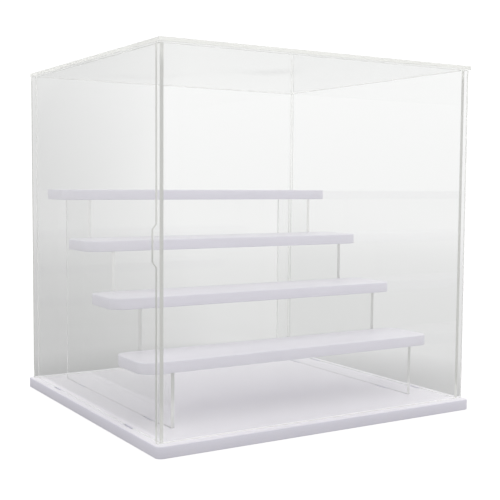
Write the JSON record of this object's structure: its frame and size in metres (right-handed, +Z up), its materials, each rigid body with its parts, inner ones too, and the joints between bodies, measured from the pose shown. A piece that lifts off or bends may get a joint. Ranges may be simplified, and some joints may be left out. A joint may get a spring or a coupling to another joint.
{
  "type": "acrylic display case with stepped stand",
  "caption": "Clear flat-pack display case on a white base board, with a lift-off top and cover, a front panel that pulls off by a finger ear, and a stepped stand of white shelves inside.",
  "frame": {"origin": "middle of the base board's underside", "axes": "+X to the viewer's right across the front, +Y from the front to the back, +Z up"},
  "size_m": [0.3, 0.28, 0.295],
  "materials": {
    "white_board": "smooth white board, faint satin sheen",
    "white_shelf": "smooth white board, faint satin sheen",
    "clear_wall": "clear polished acrylic sheet, laser-cut edges",
    "clear_top": "clear polished acrylic sheet, laser-cut edges",
    "clear_riser": "clear polished acrylic sheet, laser-cut edges"
  },
  "bodies": {
    "base": {"base_board": "white_board", "left_riser": "clear_riser", "right_riser": "clear_riser", "shelf_1": "white_shelf", "shelf_2": "white_shelf", "shelf_3": "white_shelf", "shelf_4": "white_shelf"},
    "cover": {"back_panel": "clear_wall", "left_panel": "clear_wall", "right_panel": "clear_wall"},
    "front": {"front_panel": "clear_wall"},
    "lid": {"top_panel": "clear_top"}
  },
  "joints": [
    {"name": "cover_lift", "type": "slide", "parent": "base", "child": "cover", "axis": [0, 0, 1], "range_m": [0, 0.25]},
    {"name": "lid_lift", "type": "slide", "parent": "cover", "child": "lid", "axis": [0, 0, 1], "range_m": [0, 0.08]},
    {"name": "front_pull", "type": "slide", "parent": "cover", "child": "front", "axis": [0, -1, 0], "range_m": [0, 0.08]}
  ]
}
